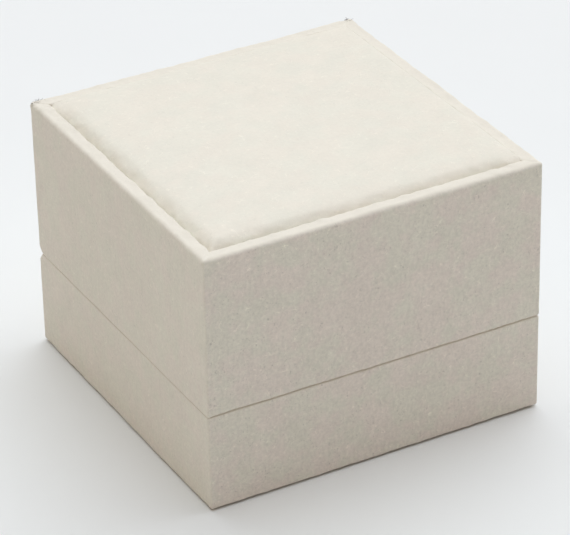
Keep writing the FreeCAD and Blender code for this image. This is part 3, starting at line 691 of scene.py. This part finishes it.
def softPanel(name, cover, card, topLevel, look, finish, body, slot, standsFor):
    low, high = (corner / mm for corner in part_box(cover))
    cardBox = [corner.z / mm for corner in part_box(card)]
    halfX, halfY, skinned = high.x, high.y, high.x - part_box(card)[1].x / mm
    way = 1 if topLevel > low.z + 0.1 else -1
    under = low.z if way > 0 else high.z
    cardUnder, cardTop = cardBox if way > 0 else cardBox[::-1]
    shares = sideShares(look["stations"], 0.72)
    front, left, back = look["front"], look["left"], look["back"]

    def drop(edge, toEnd):  # an edge's fall and lip, this far from its back or right end
        if not look["fade"] or edge is back:
            return edge["fall"], edge["lip"]
        share = step(toEnd, 0, look["fade"])
        closed = look["closed"]
        return (closed[key] + (edge[key] - closed[key]) * share for key in ("fall", "lip"))

    def height(x, y):
        edges = ((x, left, halfY - y), (y, front, halfX - x), (-x, back, 0), (-y, back, 0))
        falls = 0
        for place, edge, toEnd in edges:  # a quarter of an ellipse, steep at the edge
            fall, lip = drop(edge, toEnd)
            away = place + halfX + lip
            share, far = (min(max(1 - away / run, 0), 1) for run in (edge["run"], look["far"]))
            roll = 1 - math.sqrt(1 - share * share)
            falls += (fall * ((1 - edge["slope"]) * roll + edge["slope"] * far * far)) ** 3
        crown = look["crown"] * max(0, 1 - (x / halfX) ** 2) * max(0, 1 - (y / halfY) ** 2)
        return topLevel + way * (look["lift"] + crown - falls ** (1 / 3))

    corner = look["corner"]
    rows = [(skinned, cardTop, 0.05), (skinned, cardUnder, 0.6), (look["turn"], cardUnder, 0.6),
            (look["turn"], under, 0.6), (0.6, under, corner), (0.15, under + way * 0.15, corner),
            (0, under + way * 0.5, corner)]
    points = []
    for inset, level, rounding in rows:
        points += ring(halfX - inset, halfY - inset, rounding, level, shares)
    side = [(x, y) for x, y, level in ring(halfX, halfY, corner, 0, shares)]
    edge = []
    for x, y in side:
        fallX, lipX = drop(back if x > 0 else left, halfY - y)
        fallY, lipY = drop(back if y > 0 else front, halfX - x)
        edge.append((x * (1 + lipX / halfX), y * (1 + lipY / halfY)))
    points += [(x, y, height(*above) - way * 0.5) for (x, y), above in zip(side, edge)]
    points += [(x, y, height(x, y)) for x, y in edge]
    total = len(rows) + 2
    faces = ringFaces(total, 4 * look["stations"], closed=False)
    fillRing(points, faces, 0, shares)
    fillRing(points, faces, (total - 1) * 4 * look["stations"], shares, height)
    piece = makePiece(name, points, faces, finish, body, slot, standsFor)

    def relief(point):
        reach = min(halfX + point.x, halfY + point.y)
        soft = step(way * (point.z - under), 0.3, 1.2)
        amount = look["waves"] * (waver(point, 17, 21) + 0.4 * waver(point, 7, 22))
        ragged = 0.6 * waver(point, 5, 23) + 0.7 * waver(point, 1.9, 24) - 0.25
        return soft * (amount + look["ragged"] * (1 - step(reach, 0.5, 4.5)) * ragged)

    def glued(point):  # to the card, and where the panel meets its rim
        past = max(abs(point.x) - halfX, abs(point.y) - halfY)
        return way * (point.z - under) < simulation["gluedUnder"] or past > -simulation["gluedRim"]

    push(piece, relief)
    swellUp(piece, look["swell"], glued)
    return piece


def addLidPad():
    pad = softPanel("lid_pad", "lid_pad_cover", "lid_pad_card", lidHigh.z, lidPad, "padSuede", "lid",
                    "pad_cloth", ("lid_pad_cover", "lid_pad_foam"))
    smooth(pad, 60)


def addCeiling():
    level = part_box("ceiling_cover")[0].z / mm
    panel = softPanel("lid_ceiling_panel", "ceiling_cover", "ceiling_card", level, ceilingPad, "satin", "lid",
                      "satin", ("ceiling_cover", "ceiling_foam"))
    smooth(panel, 60)


slits = {  # where the chain and the pull tab go through the cushion
    "side": 22.0, "back": 24.8, "length": 12, "width": 1.2,  # the two chain slits
    "pucker": 0.5, "puckerReach": 1.6,  # how the cover draws in round a slit
    "tabLeg": 10.3, "tabWidth": 0.8, "tabPlay": 0.2,  # the tab's slit, from the ribbon's end under the board
}


def addInsert():
    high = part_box("insert_cover")[1] / mm
    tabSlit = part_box("insert_pull_tab")[1].y / mm - slits["tabLeg"]
    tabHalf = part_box("insert_pull_tab")[1].x / mm
    panel = softPanel("insert_cushion", "insert_cover", "insert_board", high.z, insertPad, "velvet", "insert",
                      "velvet", ("insert_cover", "insert_foam"))
    reach, wide = slits["length"] / 2, slits["width"] / 2

    def pucker(point):
        away = [Vector((abs(point.x) - slits["side"], max(0, abs(point.y - slits["back"]) - reach))).length,
                Vector((max(0, abs(point.x) - tabHalf), point.y - tabSlit)).length]
        soft = step(point.z, high.z - 4, high.z - 2)
        return -slits["pucker"] * soft * bell(min(away), slits["puckerReach"])

    push(panel, pucker)
    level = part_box("insert_board")[1].z / mm
    outline = [(-1, level), (1, level), (1, high.z + 2), (-1, high.z + 2)]
    for sign in (-1, 1):
        middle = sign * slits["side"]
        cut = [(slits["back"] + y * reach, z) for y, z in outline]
        carve(panel, *prism(cut, middle - wide, middle + wide))
    cut = [(tabSlit + slits["tabWidth"] / 2 * y, z) for y, z in outline]
    carve(panel, *prism(cut, -tabHalf - slits["tabPlay"], tabHalf + slits["tabPlay"]))
    smooth(panel, 60)


addLidPad()
addCeiling()
addInsert()
print("padded panels made")


# Linings: thin cards covered with cloth, on the walls and on the base's floor

lining = {"soft": 0.3, "corner": 0.5, "waves": 0.09, "ripple": 0.04, "stations": 40}


def slab(halfU, halfV, thick, look):  # a flat block with soft edges, in its own frame
    shares = sideShares(look["stations"], 0.6)
    soft = min(look["soft"], thick * 0.45)
    rows = []
    for arc in range(5):
        turn = math.pi / 2 * arc / 4
        rows.append((soft * (1 - math.sin(turn)), soft * (1 - math.cos(turn))))
    rows += [(inset, thick - level) for inset, level in rows[::-1]]
    points = []
    for inset, level in rows:
        points += ring(halfU - inset, halfV - inset, max(look["corner"] - inset, 0.05), level, shares)
    faces = ringFaces(len(rows), 4 * look["stations"], closed=False)
    fillRing(points, faces, 0, shares)
    fillRing(points, faces, (len(rows) - 1) * 4 * look["stations"], shares)
    return points, faces


runs = {"front": (1, 0), "right": (0, 1), "back": (-1, 0), "left": (0, -1), "floor": (1, 0)}


def addLining(body, side, finish):
    node = f"{body}_{side}_lining"
    low, high = (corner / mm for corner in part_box(node))
    middle, size = (low + high) / 2, high - low
    along, level = Vector((*runs[side], 0)), side == "floor"
    up = Vector((0, 1, 0)) if level else Vector((0, 0, 1))
    inward = Vector((0, 0, 1)) if level else Vector((-along.y, along.x, 0))
    length, height, thick = (abs(size.dot(axis)) for axis in (along, up, inward))
    flatPoints, faces = slab(length / 2, height / 2, thick, lining)
    points = [middle + along * u + up * v + inward * (w - thick / 2) for u, v, w in flatPoints]
    piece = makePiece(f"{body}_{side}_{finish}", points, faces, finish, body, "lining", (node,))
    push(piece, lambda point: lining["waves"] * waver(point, 14, 31) + lining["ripple"] * waver(point, 4, 32))
    smooth(piece, 60)
    length * mm
    height * mm


for side in ("front", "back", "left", "right"):
    addLining("base", side, "velvet")
    addLining("lid", side, "satin")
addLining("base", "floor", "velvet")
print("linings in place")


# Pull tab: a ribbon folded double, glued under the insert, up through its slit and over the cushion's edge

pullTab = {
    "thick": 0.3, "columns": 12, "selvedge": 0.06, "wave": 0.12, "edgeWave": 0.06,
    "droop": 0.75,  # how far the loop's lower layer hangs below the crest
    "spacing": 0.14,  # of the points along the ribbon
}


def smoothPath(corners, spacing):  # a soft line through given corners
    curve = bpy.data.curves.new("path", "CURVE")
    curve.dimensions = "3D"
    curve.resolution_u = 12
    spline = curve.splines.new("NURBS")
    spline.points.add(len(corners) - 1)
    for point, corner in zip(spline.points, corners):
        point.co = (*corner, 1)
    spline.order_u = 3
    spline.use_endpoint_u = True
    holder = bpy.data.objects.new("path", curve)
    scene.collection.objects.link(holder)
    mesh = bpy.data.meshes.new_from_object(holder.evaluated_get(bpy.context.evaluated_depsgraph_get()))
    line = [point.co.copy() for point in mesh.vertices]
    bpy.data.objects.remove(holder)
    bpy.data.curves.remove(curve)
    bpy.data.meshes.remove(mesh)
    made = [line[0]]
    for point in line[1:]:
        if (point - made[-1]).length >= spacing:
            made.append(point)
    return made


def addPullTab():
    low, high = (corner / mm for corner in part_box("insert_pull_tab"))
    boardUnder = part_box("insert_board")[0].z / mm
    thick, halfWide = pullTab["thick"], high.x
    slitY = high.y - slits["tabLeg"]
    crest = high.z - 2 * thick
    front, back = slitY - thick / 2, slitY + thick / 2
    lowLayer, highLayer = boardUnder - thick / 2, boardUnder - 1.5 * thick
    over = crest - pullTab["droop"]
    tip = low.y + 0.2
    corners = [
        (high.y, lowLayer), (back + 2, lowLayer), (back, lowLayer),  # glued under the board
        (back, boardUnder + 3), (back, crest - 0.3),  # up the slit
        (back - 0.3, crest + 0.35), (back - 2.2, crest + 0.45), (tip + 2.2, over + 0.9),  # out over the top
        (tip - 0.1, over + 0.55), (tip - 0.2, over - 0.15), (tip + 1.6, over - 0.35),  # the fold
        (front - 2.2, over + 0.05), (front - 0.2, over), (front, crest - 1.3), (front, boardUnder + 3),
        (front, highLayer), (back + 2, highLayer), (high.y, highLayer)]  # and back the same way
    line = smoothPath([(0, y, z) for y, z in corners], pullTab["spacing"])
    count, wide = len(line), pullTab["columns"] + 1
    points = []
    for side in (-1, 1):
        for index, here in enumerate(line):
            before, after = line[max(index - 1, 0)], line[min(index + 1, count - 1)]
            run = (after - before).normalized()
            outward = Vector((0, -run.z, run.y))
            for column in range(wide):
                across = 2 * column / pullTab["columns"] - 1
                edge = pullTab["selvedge"] * abs(across) ** 12
                point = here + outward * side * (thick / 2 - 0.05 + edge)
                point.x = across * (halfWide - 0.02 + pullTab["edgeWave"] * waver(here * 3, 2, 41 + side))
                free = step(here.z, boardUnder + 4, crest)
                point.z += pullTab["wave"] * free * waver((point.x, here.y, 0), 4, 43)
                points.append(point)
    faces = []
    layer = count * wide
    for row in range(count - 1):
        for column in range(wide - 1):
            a = row * wide + column
            faces += [(a, a + 1, a + wide + 1, a + wide),
                      (layer + a, layer + a + wide, layer + a + wide + 1, layer + a + 1)]
        for a in (row * wide, row * wide + wide - 1):
            faces.append((a, a + wide, layer + a + wide, layer + a))
    for a in range(wide - 1):
        for start in (a, (count - 1) * wide + a):
            faces.append((start, start + 1, layer + start + 1, layer + start))
    ribbon = makePiece("insert_ribbon", points, faces, "ribbon", "insert", "ribbon", ("insert_pull_tab",))
    smooth(ribbon, 50)
    length = sum((second - first).length for first, second in zip(line, line[1:]))
    cut = (round(2 * halfWide * mm, 5), length * mm)


addPullTab()
print("pull tab folded")


# Chain pouch: a flat satin pocket under the insert, glued at its edges, slack in the middle

pouch = {
    "flange": 2.4, "slack": 0.9, "slackRun": 6, "folds": 0.22, "soft": 0.1, "corner": 2.0, "stations": 56,
    "stitchDepth": 0.12, "stitchInset": 1.8, "stitchWidth": 0.35,  # the sewn line round the edge
}


def addPouch():
    low, high = (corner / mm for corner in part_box("chain_pouch"))
    middle, size = (low + high) / 2, high - low
    flatPoints, faces = slab(size.x / 2, size.y / 2, size.z, pouch)
    points = []
    for u, v, w in flatPoints:
        inner = min(size.x / 2 - abs(u), size.y / 2 - abs(v))
        bag = step(inner, pouch["flange"], pouch["flange"] + pouch["slackRun"])
        fold = pouch["folds"] * waver((u, v * 0.35, 0), 4.2, 51)
        stitch = -pouch["stitchDepth"] * bell(inner - pouch["stitchInset"], pouch["stitchWidth"])
        hang = bag * (pouch["slack"] + fold) + stitch * (w < size.z / 2)
        points.append((middle.x + u, middle.y + v, low.z + w - hang * (1 - 0.6 * w / size.z)))
    piece = makePiece("chain_pouch_satin", points, faces, "satin", "insert", "satin", ("chain_pouch",))
    smooth(piece, 60)


# Foot sheet: dark paper under the base, a little short of its edges

footSheet = {"soft": 0.08, "corner": 2.0, "stations": 40}


def addFootSheet():
    low, high = (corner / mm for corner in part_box("base_foot_sheet"))
    points, faces = slab(high.x, high.y, high.z - low.z, footSheet)
    piece = makePiece("base_foot_paper", points, faces, "paper", "base", "foot_sheet", ("base_foot_sheet",))
    smooth(piece, 60)


addPouch()
addFootSheet()
print("pouch and foot sheet made")


# Frayed ends at the corners of the lid's rim, where the cloth is cut and folded

frays = {
    "seed": 4, "reach": 1.6, "thick": 0.04, "segments": 10,
    "alongShare": 0.8,  # of the threads lie along the back rim, the others along the side
    "bend": 0.4, "highest": 0.3,  # above the rim
    "places": (((-1, 1), 70, 2.6), ((1, 1), 44, 1.3)),  # corner, threads, how far along the back they spread
}


def hairs(paths, radius, sides=5):  # one mesh of thin tapering tubes along the paths
    points, faces = [], []
    for path in paths:
        start = len(points)
        for index, here in enumerate(path):
            run = (path[min(index + 1, len(path) - 1)] - path[max(index - 1, 0)]).normalized()
            first = run.orthogonal().normalized()
            second = run.cross(first)
            narrow = radius * (1 - 0.6 * (2 * index / (len(path) - 1) - 1) ** 2)
            for side in range(sides):
                turn = 2 * math.pi * side / sides
                points.append(here + (first * math.cos(turn) + second * math.sin(turn)) * narrow)
        for index in range(len(path) - 1):
            for side in range(sides):
                a, b = start + index * sides + side, start + index * sides + (side + 1) % sides
                faces.append((a, b, b + sides, a + sides))
        last = start + (len(path) - 1) * sides
        faces += [tuple(range(start, start + sides))[::-1], tuple(range(last, last + sides))]
    return points, faces


def addFrays():
    draw = random.Random(frays["seed"])
    bend = frays["bend"]
    paths = []
    for (sideX, sideY), number, spread in frays["places"]:
        for thread in range(number):
            along = draw.random() < frays["alongShare"]
            inX, inY = draw.uniform(0.2, spread), draw.uniform(0.2, 0.7)
            under = 0.05 + 0.2 * draw.random()
            place = Vector((sideX * (half - inX), sideY * (half - inY), lidHigh.z - under))
            heading = Vector((-sideX, 0.15 * sideY, 0)) if along else Vector((0.15 * sideX, -sideY, 0))
            length = draw.uniform(0.35, 1) * frays["reach"]
            path = []
            curl = Vector((draw.uniform(-bend, bend), draw.uniform(-bend, bend), draw.uniform(-0.1, 0.15)))
            for index in range(frays["segments"]):
                path.append(place.copy())
                heading = (heading + curl + Vector((0, 0, draw.uniform(-0.1, 0.1)))).normalized()
                place += heading * length / frays["segments"]
                place.z = min(place.z, lidHigh.z + frays["highest"])
            paths.append(path)
    piece = makePiece("lid_corner_threads", *hairs(paths, frays["thick"]), "threads", "lid", "outer_cloth")
    smooth(piece, 80)


addFrays()
print("corner threads added")


# CAD pieces whose shape is right keep it, with their own finish

nodeFinishes = {"hinge": "brass", "magnets": "nickel"}
for nodeName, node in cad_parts.items():
    match = [finish for key, finish in nodeFinishes.items() if key in nodeName]
    node.data.materials.clear()
    node.data.materials.append(finishes[match[0] if match else "board"])


# Floor, sky and lamps

light = {
    "floor": (236, 237, 235), "floorReach": 3.0,  # metres, from the middle to each side
    "seen": (240, 242, 243),  # the backdrop as the camera sees it
    "sky": (1.0, 0.66, 0.57), "skyLevel": 0.2,  # and the light that it gives
    "lamps": {  # from where, how strong, how wide in degrees, colour
        "high_box": ((0, 0, 1), 1.55, 80, (0.81, 0.93, 1.0)),
        "back_box": ((0.42, 0.42, 0.8), 1.74, 80, (0.89, 0.94, 1.0)),
        "low_card": ((-0.9, 0.1, 0.4), 0.136, 60, (1.0, 0.87, 0.3)),
    },
}


def addStage():
    far = light["floorReach"]
    corners = [(-far, -far, 0), (far, -far, 0), (far, far, 0), (-far, far, 0)]
    mesh = bpy.data.meshes.new("floor")
    mesh.from_pydata(corners, [], [(0, 1, 2, 3)])
    floor = bpy.data.objects.new("floor", mesh)
    scene.collection.objects.link(floor)
    graph = Graph(bpy.data.materials.new("floor_paper"))
    soft = graph.noise(graph.place(), 30, detail=2)
    mesh.materials.append(graph.finish(Base_Color=graph.shade(screen(*light["floor"]), 0.99 + 0.02 * soft),
                                       Roughness=0.8, Specular_IOR_Level=0.2))

    world = bpy.data.worlds.new("studio")
    scene.world = world
    graph = Graph(world)
    kinds = ("Camera", "Glossy", "Transmission")
    rays = [graph.node("ShaderNodeLightPath", output=f"Is {kind} Ray") for kind in kinds]
    seen = graph.limits(rays[0] + rays[1] + rays[2], 0, 1)
    sky = graph.node("ShaderNodeBackground", None, {"Color": light["sky"], "Strength": light["skyLevel"]})
    plain = graph.node("ShaderNodeBackground", None, {"Color": screen(*light["seen"]), "Strength": 1.0})
    both = graph.node("ShaderNodeMixShader", None, {0: seen, 1: sky, 2: plain})
    graph.node("ShaderNodeOutputWorld", None, {"Surface": both})

    for name, (place, level, width, colour) in light["lamps"].items():
        lamp = bpy.data.objects.new(name, bpy.data.lights.new(name, "SUN"))
        lamp.data.energy = level
        lamp.data.color = colour
        lamp.data.angle = math.radians(width)
        lamp.rotation_mode = "QUATERNION"
        lamp.rotation_quaternion = Vector(place).to_track_quat("Z", "Y")
        scene.collection.objects.link(lamp)
    scene.view_settings.view_transform = "Standard"


addStage()
print("stage lit")
